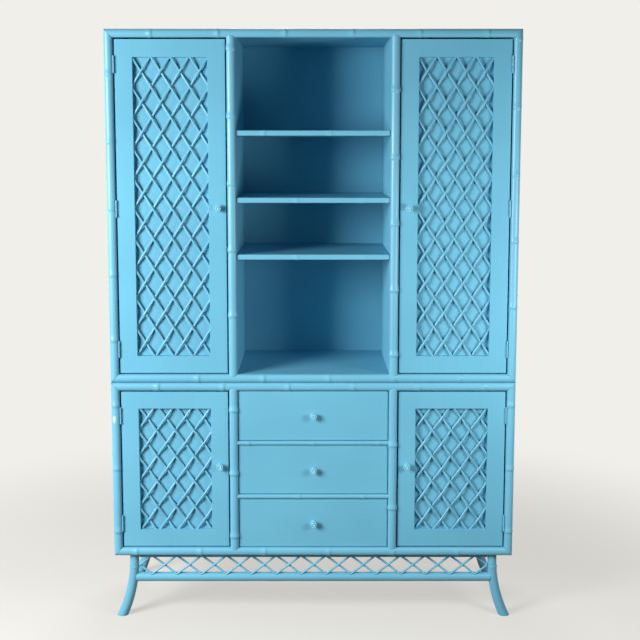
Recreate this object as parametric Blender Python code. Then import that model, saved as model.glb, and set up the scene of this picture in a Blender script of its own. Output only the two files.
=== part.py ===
# Painted breakfront cabinet: an upper hutch on a lower base, on four curved legs.
# Half-round bamboo mouldings frame both stages, and rattan lattices fill the door recesses.
# Metres, +Z up. The front faces -Y. The origin is on the floor under the middle of the whole box.

import math

import bmesh
import bpy
from mathutils import Matrix, Vector

# Case
CABINET_WIDTH = 1.372
CASE_DEPTH = 0.443
LEG_HEIGHT = 0.224
LOWER_CASE_HEIGHT = 0.6075
UPPER_CASE_HEIGHT = 1.1765
BAY_WIDTH = 0.513
PANEL_THICKNESS = 0.019
BACK_THICKNESS = 0.006
SEAT_GAP = 0.0003

# Half-round bamboo moulding. Sides and dividers are as thick as the moulding that covers their edges.
MOULDING_WIDTH = 0.0286
MOULDING_PROUD = 0.0100
NODE_SPACING = 0.221
NODE_LENGTH = 0.010
NODE_SWELL = 0.22
NODE_END_MARGIN = 0.035
NOSING_END_ROUND = 0.006
ARC_SEGMENTS = 6

# First bamboo node of each run, measured from its left or lower end
UPPER_TOP_RAIL_NODE = 0.153
UPPER_BOTTOM_RAIL_NODE = 0.297
LOWER_TOP_RAIL_NODE = 0.160
LOWER_BOTTOM_RAIL_NODE = 0.078
UPPER_LEFT_STILE_NODE = 0.145
UPPER_RIGHT_STILE_NODE = 0.258
LOWER_STILE_NODE = 0.086
UPPER_LEFT_DIVIDER_NODE = 0.200
UPPER_RIGHT_DIVIDER_NODE = 0.066
LOWER_LEFT_DIVIDER_NODE = 0.040
LOWER_RIGHT_DIVIDER_NODE = 0.140
UPPER_DRAWER_RAIL_NODE = 0.036
LOWER_DRAWER_RAIL_NODE = 0.207
TOP_SHELF_NODE = 0.092
OTHER_SHELF_NODE = 0.201

# Shelves of the open bay, with the height of each top above the bay floor
SHELF_THICKNESS = 0.018
SHELF_NOSE = 0.004
SHELF_SETBACK = 0.001
SHELF_END_GAP = 0.0006
BOTTOM_SHELF_RISE = 0.407
MIDDLE_SHELF_RISE = 0.597
TOP_SHELF_RISE = 0.819
SHELF_PIN_RADIUS = 0.003
SHELF_PIN_LENGTH = 0.009
SHELF_PIN_INSET = 0.060

# Doors
DOOR_THICKNESS = 0.022
DOOR_SETBACK = 0.001
DOOR_END_GAP = 0.004
LATCH_GAP = 0.0045
HINGE_GAP = 0.0046
DOOR_STILE = 0.0585
DOOR_RAIL = 0.0585
RECESS_DEPTH = 0.016
STOP_WIDTH = 0.014
STOP_DEPTH = 0.014
STOP_HEIGHT = 0.040

# Rattan lattice, counted in half diamonds across and down a door window
LATTICE_ACROSS = 7.7
UPPER_LATTICE_DOWN = 19.8
LOWER_LATTICE_DOWN = 9.5
STRAND_WIDTH = 0.008
STRAND_THICKNESS = 0.0055
STRAND_OVERLAP = 0.0012
STRAND_FACE_SHARE = 0.55
LATTICE_SETBACK = 0.0008

# Butt hinges
HINGE_HEIGHT = 0.057
HINGE_LEAF = 0.0015
HINGE_LEAF_REACH = 0.018
HINGE_INSET = 0.082
BARREL_RADIUS = 0.0026
BARREL_FORWARD = 0.0042
PIN_RADIUS = 0.0012
PIN_CLEARANCE = 0.0004
KNUCKLE_GAP = 0.0004
BARREL_SIDES = 8

# Knobs
KNOB_RADIUS = 0.0120
KNOB_NECK_RADIUS = 0.0065
KNOB_BASE_RADIUS = 0.0090
KNOB_LENGTH = 0.0240
KNOB_EDGE_DISTANCE = 0.029
UPPER_KNOB_RISE = 0.003
LOWER_KNOB_RISE = 0.014
KNOB_SIDES = 12

# Drawers
DRAWER_RAIL_HEIGHT = 0.014
DRAWER_RAIL_NOSE = 0.007
DRAWER_RAIL_DEPTH = 0.045
DRAWER_GAP = 0.002
DRAWER_FRONT_THICKNESS = 0.019
DRAWER_WALL = 0.012
DRAWER_FLOOR = 0.006
DRAWER_TOP_CLEARANCE = 0.028
DRAWER_BACK_CLEARANCE = 0.020
RUNNER_WIDTH = 0.014
RUNNER_HEIGHT = 0.012
RUNNER_FRONT_CLEARANCE = 0.004

# Stand
LEG_END_INSET = 0.0645
LEG_RADIUS = 0.0155
FOOT_RADIUS = 0.0175
LEG_STRAIGHT = 0.024
LEG_SPLAY = 0.0445
LEG_RING_SWELL = 0.0015
LEG_RING_LENGTH = 0.008
LEG_RING_DROP = 0.049
FRONT_LEG_INSET = 0.026
REAR_LEG_INSET = 0.041
LEG_SIDES = 12
LEG_STEPS = 7
STRETCHER_RADIUS = 0.0155
STRETCHER_HEIGHT = 0.1370
APRON_BAYS = 14
APRON_STICK_WIDTH = 0.0065
APRON_STICK_THICKNESS = 0.0050
APRON_STICK_SEAT = 0.004
BATTEN_DEPTH = 0.016
BATTEN_DROP = 0.014

# How far one solid reaches into another where the two are one piece
WELD = 0.002

# Places worked out from the sizes above
HALF_WIDTH = CABINET_WIDTH / 2
SIDE_INNER = HALF_WIDTH - MOULDING_WIDTH
LEG_OFFSET = HALF_WIDTH - LEG_END_INSET
BAY_HALF = BAY_WIDTH / 2
DIVIDER_OUTER = BAY_HALF + MOULDING_WIDTH
KNOB_REACH = KNOB_LENGTH + SEAT_GAP - DOOR_SETBACK
FACE = (KNOB_REACH - CASE_DEPTH) / 2
REAR = FACE + CASE_DEPTH
BACK_FRONT = REAR - BACK_THICKNESS
STAGE = LEG_HEIGHT + LOWER_CASE_HEIGHT
TOP = STAGE + UPPER_CASE_HEIGHT
LOWER_FLOOR = LEG_HEIGHT + MOULDING_WIDTH
LOWER_CEILING = STAGE - PANEL_THICKNESS
LOWER_LINTEL = STAGE - MOULDING_WIDTH
BAY_FLOOR = STAGE + MOULDING_WIDTH
BAY_CEILING = TOP - PANEL_THICKNESS
UPPER_LINTEL = TOP - MOULDING_WIDTH
DOOR_FRONT = FACE + DOOR_SETBACK
DOOR_BACK = DOOR_FRONT + DOOR_THICKNESS
DRAWER_OPENING = (LOWER_LINTEL - LOWER_FLOOR - 2 * DRAWER_RAIL_HEIGHT) / 3
DRAWER_STEP = DRAWER_OPENING + DRAWER_RAIL_HEIGHT

X_AXIS = Vector((1, 0, 0))
Z_AXIS = Vector((0, 0, 1))
FRONTWARD = Vector((0, -1, 0))


def clear_scene():
    for old in list(bpy.data.objects):
        bpy.data.objects.remove(old, do_unlink=True)


def linear(value):
    if value <= 0.04045:
        return value / 12.92
    return ((value + 0.055) / 1.055) ** 2.4


def make_material(name, red, green, blue, roughness, metallic=0.0):
    material = bpy.data.materials.new(name)
    material.use_nodes = True
    shader = material.node_tree.nodes["Principled BSDF"]
    colour = [linear(part / 255) for part in (red, green, blue)]
    shader.inputs["Base Color"].default_value = (*colour, 1.0)
    shader.inputs["Roughness"].default_value = roughness
    shader.inputs["Metallic"].default_value = metallic
    return material


def make_carrier(name, place):
    carrier = bpy.data.objects.new(name, None)
    carrier.empty_display_size = KNOB_LENGTH
    carrier.location = place
    bpy.context.collection.objects.link(carrier)
    return carrier


def make_object(name, bm, material, carrier=None):
    bmesh.ops.recalc_face_normals(bm, faces=bm.faces[:])
    mesh = bpy.data.meshes.new(name)
    bm.to_mesh(mesh)
    bm.free()
    mesh.materials.append(material)
    obj = bpy.data.objects.new(name, mesh)
    bpy.context.collection.objects.link(obj)
    finish(obj, carrier)
    return obj


def finish(obj, carrier=None):
    obj.data.shade_smooth()
    obj.data.set_sharp_from_angle(angle=math.radians(40))
    if carrier:
        obj.data.transform(Matrix.Translation(-carrier.location))
        obj.parent = carrier


def add_box(bm, low, high):
    size = [b - a for a, b in zip(low, high)]
    middle = [(a + b) / 2 for a, b in zip(low, high)]
    matrix = Matrix.Translation(middle) @ Matrix.Diagonal((*size, 1.0))
    bmesh.ops.create_cube(bm, size=1.0, matrix=matrix)


def add_post(bm, centre, radius, length, sides, axis=Z_AXIS):
    turn = Z_AXIS.rotation_difference(axis).to_matrix().to_4x4()
    half_side = Matrix.Rotation(math.pi / sides, 4, "Z")
    bmesh.ops.create_cone(bm, cap_ends=True, segments=sides, radius1=radius, radius2=radius,
                          depth=length, matrix=Matrix.Translation(centre) @ turn @ half_side)


def add_loft(bm, rings):
    rows = [[bm.verts.new(point) for point in ring] for ring in rings]
    for lower, upper in zip(rows, rows[1:]):
        for a in range(len(lower)):
            b = (a + 1) % len(lower)
            bm.faces.new((lower[a], lower[b], upper[b], upper[a]))
    bm.faces.new(rows[0])
    bm.faces.new(rows[-1])


def make_box(name, low, high, material):
    bm = bmesh.new()
    add_box(bm, low, high)
    return make_object(name, bm, material)


def combine(obj, bm, operation):
    tool = make_object("tool", bm, obj.data.materials[0])
    change = obj.modifiers.new("combine", "BOOLEAN")
    change.operation = operation
    change.solver = "EXACT"
    change.object = tool
    bpy.context.view_layer.update()
    seen = obj.evaluated_get(bpy.context.evaluated_depsgraph_get())
    result = bpy.data.meshes.new_from_object(seen)
    old = obj.data
    obj.modifiers.remove(change)
    obj.data = result
    result.name = obj.name
    bpy.data.meshes.remove(old)
    bpy.data.objects.remove(tool)


def node_places(first, low, high):
    places = []
    place = first
    while place < high - NODE_END_MARGIN:
        if place > low + NODE_END_MARGIN / 2:
            places.append(place)
        place += NODE_SPACING
    return places


def bamboo_steps(start, end, first):
    # Each step is a place along the run and how far the crown swells there
    steps = []
    for place in node_places(first, start, end):
        steps.append((place - NODE_LENGTH / 2, 1.0))
        steps.append((place, 1.0 + NODE_SWELL))
        steps.append((place + NODE_LENGTH / 2, 1.0))
    return steps


def nosed_ring(origin, along, across, place, crown, width, proud, depth, slant=0.0):
    # A half-round front, with a square back when depth is given. A slanted ring is a mitre.
    ring = []
    for k in range(ARC_SEGMENTS + 1):
        angle = math.pi * k / ARC_SEGMENTS
        side = width / 2 * math.cos(angle)
        height = proud * math.sin(angle) * crown
        ring.append(origin + along * (place + slant * side) + across * side + FRONTWARD * height)
    if depth:
        for side in (-width / 2, width / 2):
            ring.append(origin + along * place + across * side - FRONTWARD * depth)
    return ring


def make_moulding(name, corner, along, across, length, outer, first, material):
    # A mitred length: its outer edge is the long one, and outer says which side that is
    origin = corner - across * outer * MOULDING_WIDTH / 2
    half_mitre = MOULDING_WIDTH / 2
    steps = [(SEAT_GAP + half_mitre, 1.0, -outer)]
    for place, crown in bamboo_steps(MOULDING_WIDTH, length - MOULDING_WIDTH, first):
        steps.append((place, crown, 0.0))
    steps.append((length - SEAT_GAP - half_mitre, 1.0, outer))
    bm = bmesh.new()
    add_loft(bm, [nosed_ring(origin, along, across, place, crown, MOULDING_WIDTH, MOULDING_PROUD, 0.0,
                             slant) for place, crown, slant in steps])
    return make_object(name, bm, material)


def make_nosed_board(name, origin, along, across, length, width, proud, depth, first, nosing, material):
    # The nosing runs between two places along the board, with rounded ends, and the board runs past it
    start, end = nosing
    steps = [(start, 0.0), (start + NOSING_END_ROUND / 3, 0.75), (start + NOSING_END_ROUND, 1.0)]
    steps += bamboo_steps(start, end, first)
    steps += [(end - NOSING_END_ROUND, 1.0), (end - NOSING_END_ROUND / 3, 0.75), (end, 0.0)]
    if start > 0:
        steps.insert(0, (0.0, 0.0))
    if end < length:
        steps.append((length, 0.0))
    bm = bmesh.new()
    add_loft(bm, [nosed_ring(origin, along, across, place, crown, width, proud, depth)
                  for place, crown in steps])
    return make_object(name, bm, material)


def make_stage_panels(stage, base, top, floor, paint):
    inner = SIDE_INNER - SEAT_GAP
    for name, side in (("left", -1), ("right", 1)):
        near, far = sorted((side * SIDE_INNER, side * HALF_WIDTH))
        make_box(f"{stage}_{name}_side", (near, FACE, base), (far, REAR, top), paint)
    panel_rear = BACK_FRONT - SEAT_GAP
    make_box(f"{stage}_top", (-inner, FACE, top - PANEL_THICKNESS), (inner, panel_rear, top), paint)
    make_box(f"{stage}_bottom", (-inner, FACE, floor - PANEL_THICKNESS), (inner, panel_rear, floor), paint)
    make_box(f"{stage}_back", (-inner, BACK_FRONT, base), (inner, REAR, top), paint)


def make_stage_mouldings(stage, base, top, top_node, bottom_node, left_node, right_node, paint):
    plane = FACE - SEAT_GAP
    left, right = -HALF_WIDTH, HALF_WIDTH
    height = top - base
    make_moulding(f"{stage}_top_rail", Vector((left, plane, top)), X_AXIS, Z_AXIS,
                  CABINET_WIDTH, 1, top_node, paint)
    make_moulding(f"{stage}_bottom_rail", Vector((left, plane, base)), X_AXIS, Z_AXIS,
                  CABINET_WIDTH, -1, bottom_node, paint)
    make_moulding(f"{stage}_left_stile", Vector((left, plane, base)), Z_AXIS, X_AXIS,
                  height, -1, left_node, paint)
    make_moulding(f"{stage}_right_stile", Vector((right, plane, base)), Z_AXIS, X_AXIS,
                  height, 1, right_node, paint)


def make_divider(stage, name, side, floor, ceiling, lintel, first, paint):
    base = floor + SEAT_GAP
    middle = side * (BAY_HALF + MOULDING_WIDTH / 2)
    length = ceiling - SEAT_GAP - base
    nosing = (0.0, lintel - SEAT_GAP - base)
    depth = BACK_FRONT - SEAT_GAP - FACE
    divider = make_nosed_board(f"{stage}_{name}_divider", Vector((middle, FACE, base)), Z_AXIS, X_AXIS,
                               length, MOULDING_WIDTH, MOULDING_PROUD, depth, first, nosing, paint)
    stop = bmesh.new()
    stop_middle = (floor + lintel) / 2
    near, far = sorted((side * (DIVIDER_OUTER - WELD), side * (DIVIDER_OUTER + STOP_WIDTH)))
    stop_front = DOOR_BACK + SEAT_GAP
    add_box(stop, (near, stop_front, stop_middle - STOP_HEIGHT / 2),
            (far, stop_front + STOP_DEPTH, stop_middle + STOP_HEIGHT / 2))
    combine(divider, stop, "UNION")
    return divider


def add_shelf_pins(divider, side):
    pins = bmesh.new()
    reach = SHELF_PIN_LENGTH + WELD
    across = side * (BAY_HALF - SHELF_PIN_LENGTH + reach / 2)
    for rise in (BOTTOM_SHELF_RISE, MIDDLE_SHELF_RISE, TOP_SHELF_RISE):
        height = BAY_FLOOR + rise - SHELF_THICKNESS - SEAT_GAP - SHELF_PIN_RADIUS
        for depth in (FACE + SHELF_PIN_INSET, BACK_FRONT - SHELF_PIN_INSET):
            add_post(pins, (across, depth, height), SHELF_PIN_RADIUS, reach, BARREL_SIDES, X_AXIS)
    combine(divider, pins, "UNION")


def drawer_base(level):
    return LOWER_FLOOR + level * DRAWER_STEP


def add_runners(divider, side):
    runners = bmesh.new()
    near, far = sorted((side * (BAY_HALF - RUNNER_WIDTH), side * (BAY_HALF + WELD)))
    front = DOOR_FRONT + DRAWER_FRONT_THICKNESS + RUNNER_FRONT_CLEARANCE
    rear = BACK_FRONT - DRAWER_BACK_CLEARANCE
    for level in range(3):
        base = drawer_base(level) + SEAT_GAP
        add_box(runners, (near, front, base), (far, rear, base + RUNNER_HEIGHT))
    combine(divider, runners, "UNION")


def make_shelf(name, rise, first, paint):
    half = BAY_HALF - SHELF_END_GAP
    nose_plane = FACE + SHELF_SETBACK + SHELF_NOSE
    origin = Vector((-half, nose_plane, BAY_FLOOR + rise - SHELF_THICKNESS / 2))
    depth = BACK_FRONT - SEAT_GAP - nose_plane
    make_nosed_board(name, origin, X_AXIS, Z_AXIS, 2 * half, SHELF_THICKNESS, SHELF_NOSE, depth, first,
                     (0.0, 2 * half), paint)


def make_drawer_rail(name, level, first, paint):
    half = BAY_HALF - SEAT_GAP
    origin = Vector((-half, FACE, drawer_base(level) - DRAWER_RAIL_HEIGHT / 2))
    make_nosed_board(name, origin, X_AXIS, Z_AXIS, 2 * half, DRAWER_RAIL_HEIGHT, DRAWER_RAIL_NOSE,
                     DRAWER_RAIL_DEPTH, first, (0.0, 2 * half), paint)


def make_knob(name, centre, carrier, material):
    # Turned profile: seat, swept neck and a fat head with an eased front, as distance and radius
    profile = ((0.0, KNOB_BASE_RADIUS), (0.14, KNOB_BASE_RADIUS), (0.34, KNOB_NECK_RADIUS),
               (0.50, KNOB_NECK_RADIUS), (0.66, KNOB_RADIUS), (0.88, KNOB_RADIUS), (1.0, KNOB_NECK_RADIUS))
    rings = []
    for share, radius in profile:
        middle = centre + FRONTWARD * (KNOB_LENGTH * share)
        turns = [2 * math.pi * k / KNOB_SIDES for k in range(KNOB_SIDES)]
        rings.append([middle + X_AXIS * radius * math.cos(turn) + Z_AXIS * radius * math.sin(turn)
                      for turn in turns])
    bm = bmesh.new()
    add_loft(bm, rings)
    make_object(name, bm, material, carrier)


def add_strand(bm, start, end, width, front, back):
    # A stick between two points of the front view, narrower on its front face than on its back
    along = (end - start).normalized()
    across = Vector((-along.z, 0.0, along.x)) * width / 2
    rings = []
    for point in (start, end):
        face = across * STRAND_FACE_SHARE
        rings.append([Vector((spot.x, depth, spot.z)) for spot, depth in
                      ((point - across, back), (point + across, back),
                       (point + face, front), (point - face, front))])
    add_loft(bm, rings)


def make_lattice(name, left, right, base, top, down_count, carrier, material):
    # Two crossing layers of strands over a window, trimmed to the window with a small gap
    half_wide = (right - left) / LATTICE_ACROSS
    half_high = (top - base) / down_count
    middle = Vector(((left + right) / 2, 0.0, (base + top) / 2))
    corner_x = math.ceil(LATTICE_ACROSS / 2)
    corner_z = math.ceil(down_count / 2)
    reach = corner_x + corner_z
    front = DOOR_FRONT + LATTICE_SETBACK
    second = front + STRAND_THICKNESS - STRAND_OVERLAP
    layers = []
    for slope, depth in ((1, front), (-1, second)):
        bm = bmesh.new()
        for shift in range(-reach, reach + 1, 2):
            ends = []
            for run in (-corner_x - 1, corner_x + 1):
                ends.append(middle + X_AXIS * run * half_wide + Z_AXIS * (slope * run + shift) * half_high)
            add_strand(bm, ends[0], ends[1], STRAND_WIDTH, depth, depth + STRAND_THICKNESS)
        layers.append(bm)
    lattice = make_object(name, layers[0], material)
    combine(lattice, layers[1], "UNION")
    window = bmesh.new()
    add_box(window, (left + SEAT_GAP, front - WELD, base + SEAT_GAP),
            (right - SEAT_GAP, DOOR_FRONT + RECESS_DEPTH, top - SEAT_GAP))
    combine(lattice, window, "INTERSECT")
    finish(lattice, carrier)


def hinge_heights(base, top, count):
    low = base + HINGE_INSET
    high = top - HINGE_INSET
    return [low + (high - low) * k / (count - 1) for k in range(count)]


def knuckle_half():
    # The middle knuckle belongs to the door, and the two outer ones to the case
    return HINGE_HEIGHT / 6


def make_hinge(name, axis, side, height, material):
    # The case half: a leaf on the side's inner face, two outer knuckles and the pin
    leaf_near = side * (SIDE_INNER - SEAT_GAP)
    leaf_far = leaf_near - side * HINGE_LEAF
    low, high = sorted((leaf_near, leaf_far))
    clear = BARREL_RADIUS + KNUCKLE_GAP
    base, top = height - HINGE_HEIGHT / 2, height + HINGE_HEIGHT / 2
    plate = bmesh.new()
    add_box(plate, (low, axis.y + clear, base), (high, FACE + HINGE_LEAF_REACH, top))
    hinge = make_object(name, plate, material)
    outer = HINGE_HEIGHT / 2 - knuckle_half() - KNUCKLE_GAP
    centres = (base + outer / 2, top - outer / 2)
    webs = bmesh.new()
    knuckles = bmesh.new()
    trim = HINGE_LEAF / 10
    for centre in centres:
        add_box(webs, (low + trim, axis.y, centre - outer / 2 + trim),
                (high - trim, axis.y + clear + WELD, centre + outer / 2 - trim))
        add_post(knuckles, (axis.x, axis.y, centre), BARREL_RADIUS, outer, BARREL_SIDES)
    combine(hinge, webs, "UNION")
    combine(hinge, knuckles, "UNION")
    pin = bmesh.new()
    add_post(pin, (axis.x, axis.y, height), PIN_RADIUS, centres[1] - centres[0], BARREL_SIDES)
    combine(hinge, pin, "UNION")
    finish(hinge)


def add_door_leaves(door, axis, side, edge, heights):
    # The door half of each hinge: a leaf on the door's edge with the middle knuckle, bored for the pin
    clear = BARREL_RADIUS + KNUCKLE_GAP
    leaf_outer = edge + side * HINGE_LEAF
    low, high = sorted((leaf_outer, edge - side * WELD))
    web_low, web_high = sorted((leaf_outer, edge))
    trim = HINGE_LEAF / 10
    leaves = bmesh.new()
    webs = bmesh.new()
    knuckles = bmesh.new()
    bores = bmesh.new()
    half = knuckle_half()
    for height in heights:
        add_box(leaves, (low, axis.y + clear, height - HINGE_HEIGHT / 2),
                (high, FACE + HINGE_LEAF_REACH, height + HINGE_HEIGHT / 2))
        add_box(webs, (web_low + trim, axis.y, height - half + trim),
                (web_high - trim, axis.y + clear + WELD, height + half - trim))
        add_post(knuckles, (axis.x, axis.y, height), BARREL_RADIUS, 2 * half, BARREL_SIDES)
        add_post(bores, (axis.x, axis.y, height), PIN_RADIUS + PIN_CLEARANCE, HINGE_HEIGHT, BARREL_SIDES)
    combine(door, leaves, "UNION")
    combine(door, webs, "UNION")
    combine(door, knuckles, "UNION")
    combine(door, bores, "DIFFERENCE")


def make_door(stage, name, side, floor, lintel, hinge_count, down_count, knob_rise, paint, metal):
    title = f"{stage}_{name}_door"
    hinge_edge = side * (SIDE_INNER - HINGE_GAP)
    latch_edge = side * (DIVIDER_OUTER + LATCH_GAP)
    base, top = floor + DOOR_END_GAP, lintel - DOOR_END_GAP
    axis_x = side * (SIDE_INNER - (SEAT_GAP + HINGE_GAP) / 2)
    axis = Vector((axis_x, FACE - BARREL_FORWARD, base))
    carrier = make_carrier(f"{title}_axis", axis)
    left, right = sorted((hinge_edge, latch_edge))
    slab = bmesh.new()
    add_box(slab, (left, DOOR_FRONT, base), (right, DOOR_BACK, top))
    door = make_object(title, slab, paint)
    recess = bmesh.new()
    window = (left + DOOR_STILE, right - DOOR_STILE, base + DOOR_RAIL, top - DOOR_RAIL)
    add_box(recess, (window[0], DOOR_FRONT - WELD, window[2]),
            (window[1], DOOR_FRONT + RECESS_DEPTH, window[3]))
    combine(door, recess, "DIFFERENCE")
    heights = hinge_heights(base, top, hinge_count)
    add_door_leaves(door, axis, side, hinge_edge, heights)
    finish(door, carrier)
    places = {2: ("bottom", "top"), 3: ("bottom", "middle", "top")}[hinge_count]
    for place, height in zip(places, heights):
        make_hinge(f"{title}_{place}_hinge", axis, side, height, metal)
    make_lattice(f"{title}_lattice", *window, down_count, carrier, paint)
    knob_x = latch_edge + side * KNOB_EDGE_DISTANCE
    knob_height = (base + top) / 2 + knob_rise
    make_knob(f"{title}_knob", Vector((knob_x, DOOR_FRONT - SEAT_GAP, knob_height)), carrier, paint)


def make_drawer(name, level, paint):
    base = drawer_base(level) + DRAWER_GAP
    top = drawer_base(level) + DRAWER_OPENING - DRAWER_GAP
    half = BAY_HALF - DRAWER_GAP
    front_rear = DOOR_FRONT + DRAWER_FRONT_THICKNESS
    carrier = make_carrier(f"{name}_slide", Vector((0.0, DOOR_FRONT, (base + top) / 2)))
    front = bmesh.new()
    add_box(front, (-half, DOOR_FRONT, base), (half, front_rear, top))
    drawer = make_object(name, front, paint)
    tray_base = drawer_base(level) + SEAT_GAP + RUNNER_HEIGHT + SEAT_GAP
    tray_top = top - DRAWER_TOP_CLEARANCE
    tray_rear = BACK_FRONT - DRAWER_BACK_CLEARANCE
    inset = SEAT_GAP
    tray = bmesh.new()
    add_box(tray, (-half + inset, front_rear - WELD, tray_base), (half - inset, tray_rear, tray_top))
    combine(drawer, tray, "UNION")
    hollow = bmesh.new()
    add_box(hollow, (-half + DRAWER_WALL, front_rear, tray_base + DRAWER_FLOOR),
            (half - DRAWER_WALL, tray_rear - DRAWER_WALL, top + WELD))
    combine(drawer, hollow, "DIFFERENCE")
    finish(drawer, carrier)
    make_knob(f"{name}_knob", Vector((0.0, DOOR_FRONT - SEAT_GAP, (base + top) / 2)), carrier, paint)


def leg_bend():
    # The leg's centre line leaves the upright on one arc that reaches the floor LEG_SPLAY further out
    drop = LEG_HEIGHT - LEG_STRAIGHT
    radius = (drop ** 2 + LEG_SPLAY ** 2) / (2 * LEG_SPLAY)
    return radius, math.asin(drop / radius)


def leg_shift(height):
    radius, _ = leg_bend()
    drop = max(0.0, LEG_HEIGHT - LEG_STRAIGHT - height)
    return radius - math.sqrt(radius ** 2 - drop ** 2)


def leg_radius(height):
    return FOOT_RADIUS + (LEG_RADIUS - FOOT_RADIUS) * height / LEG_HEIGHT


def make_leg(name, side, depth, paint):
    radius, sweep = leg_bend()
    top = LOWER_FLOOR - PANEL_THICKNESS - SEAT_GAP
    bend = LEG_HEIGHT - LEG_STRAIGHT
    ring_middle = LEG_HEIGHT - LEG_RING_DROP
    stations = [(top, 0.0), (ring_middle + LEG_RING_LENGTH / 2, 0.0), (ring_middle, LEG_RING_SWELL),
                (ring_middle - LEG_RING_LENGTH / 2, 0.0)]
    for k in range(1, LEG_STEPS):
        height = bend - radius * math.sin(sweep * k / LEG_STEPS)
        if height < stations[-1][0] - LEG_RING_LENGTH:
            stations.append((height, 0.0))
    stations.append((0.0, 0.0))
    rings = []
    for height, swell in stations:
        drop = max(0.0, bend - height)
        lean = math.asin(drop / radius)
        centre = Vector((side * (LEG_OFFSET + leg_shift(height)), depth, height))
        thick = leg_radius(height) + swell
        down = Vector((side * math.sin(lean), 0.0, -math.cos(lean)))
        outward = Vector((side * math.cos(lean), 0.0, math.sin(lean)))
        ring = []
        for k in range(LEG_SIDES):
            turn = 2 * math.pi * (k + 0.5) / LEG_SIDES
            point = centre + outward * thick * math.cos(turn) + FRONTWARD * thick * math.sin(turn)
            if height == 0.0:
                point += down * (point.z / math.cos(lean))
                point.z = 0.0
            ring.append(point)
        rings.append(ring)
    bm = bmesh.new()
    add_loft(bm, rings)
    make_object(name, bm, paint)


def make_apron(name, paint):
    depth = FACE + FRONT_LEG_INSET
    stretcher_top = STRETCHER_HEIGHT + STRETCHER_RADIUS
    stretcher_end = LEG_OFFSET + leg_shift(stretcher_top) - leg_radius(stretcher_top) - SEAT_GAP
    stretcher = bmesh.new()
    add_post(stretcher, (0.0, depth, STRETCHER_HEIGHT), STRETCHER_RADIUS, 2 * stretcher_end,
             LEG_SIDES, X_AXIS)
    apron = make_object(name, stretcher, paint)
    half = LEG_OFFSET - leg_radius(LEG_HEIGHT) - LEG_RING_SWELL - SEAT_GAP
    batten_base = LEG_HEIGHT - BATTEN_DROP
    pitch = 2 * half / APRON_BAYS
    low = stretcher_top - APRON_STICK_SEAT
    high = batten_base + APRON_STICK_SEAT
    sticks = []
    for lean in (1, -1):
        front = depth - APRON_STICK_THICKNESS
        if lean < 0:
            front += APRON_STICK_THICKNESS - STRAND_OVERLAP
        bm = bmesh.new()
        for bay in range(-1, APRON_BAYS + 1):
            foot = Vector((-half + (bay + 0.5) * pitch, 0.0, low))
            head = foot + X_AXIS * lean * pitch + Z_AXIS * (high - low)
            add_strand(bm, foot, head, APRON_STICK_WIDTH, front, front + APRON_STICK_THICKNESS)
        sticks.append(bm)
    net = make_object(f"{name}_net", sticks[0], paint)
    combine(net, sticks[1], "UNION")
    trim = bmesh.new()
    add_box(trim, (-half, depth - STRETCHER_RADIUS, low - WELD),
            (half, depth + STRETCHER_RADIUS, high + WELD))
    combine(net, trim, "INTERSECT")
    crossed = bmesh.new()
    crossed.from_mesh(net.data)
    bpy.data.objects.remove(net)
    combine(apron, crossed, "UNION")
    batten = bmesh.new()
    add_box(batten, (-half, depth - BATTEN_DEPTH / 2, batten_base),
            (half, depth + BATTEN_DEPTH / 2, LOWER_FLOOR - PANEL_THICKNESS - SEAT_GAP))
    combine(apron, batten, "UNION")
    finish(apron)


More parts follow.
